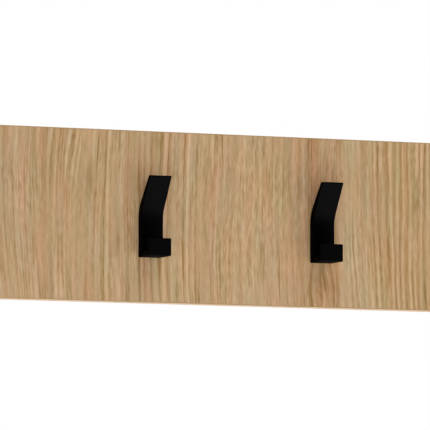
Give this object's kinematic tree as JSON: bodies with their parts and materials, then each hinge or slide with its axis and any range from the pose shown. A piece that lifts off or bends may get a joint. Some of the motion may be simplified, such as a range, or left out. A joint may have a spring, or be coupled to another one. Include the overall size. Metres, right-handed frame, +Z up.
{
  "type": "wall hook rack",
  "caption": "Wall rack: an oak-faced board with a row of black double hooks, each a leaning arm above a square foot with a small lip, hung on keyhole plates in its back.",
  "frame": {"origin": "centre of the board's back, the face that lies on the wall", "axes": "+X along the board, +Y into the wall, +Z up; the hooks point towards -Y"},
  "size_m": [0.8, 0.0504, 0.183],
  "materials": {
    "oak_board": "matt, open oak grain running up and down the board",
    "oak_band": "matt, oak-printed edge band",
    "black_coat": "matt black powder coat",
    "zinc_screw": "bright zinc plated",
    "zinc_plate": "zinc plated sheet"
  },
  "bodies": {
    "root": {"board_core": "oak_board", "edge_band_top": "oak_band", "edge_band_bottom": "oak_band", "edge_band_left": "oak_band", "edge_band_right": "oak_band", "hook_1": "black_coat", "hook_1_screw_lower": "zinc_screw", "hook_1_screw_upper": "zinc_screw", "hook_2": "black_coat", "hook_2_screw_lower": "zinc_screw", "hook_2_screw_upper": "zinc_screw", "hook_3": "black_coat", "hook_3_screw_lower": "zinc_screw", "hook_3_screw_upper": "zinc_screw", "hook_4": "black_coat", "hook_4_screw_lower": "zinc_screw", "hook_4_screw_upper": "zinc_screw", "hanger_plate_left": "zinc_plate", "hanger_left_screw_lower": "zinc_screw", "hanger_left_screw_upper": "zinc_screw", "hanger_plate_right": "zinc_plate", "hanger_right_screw_lower": "zinc_screw", "hanger_right_screw_upper": "zinc_screw"}
  },
  "joints": []
}
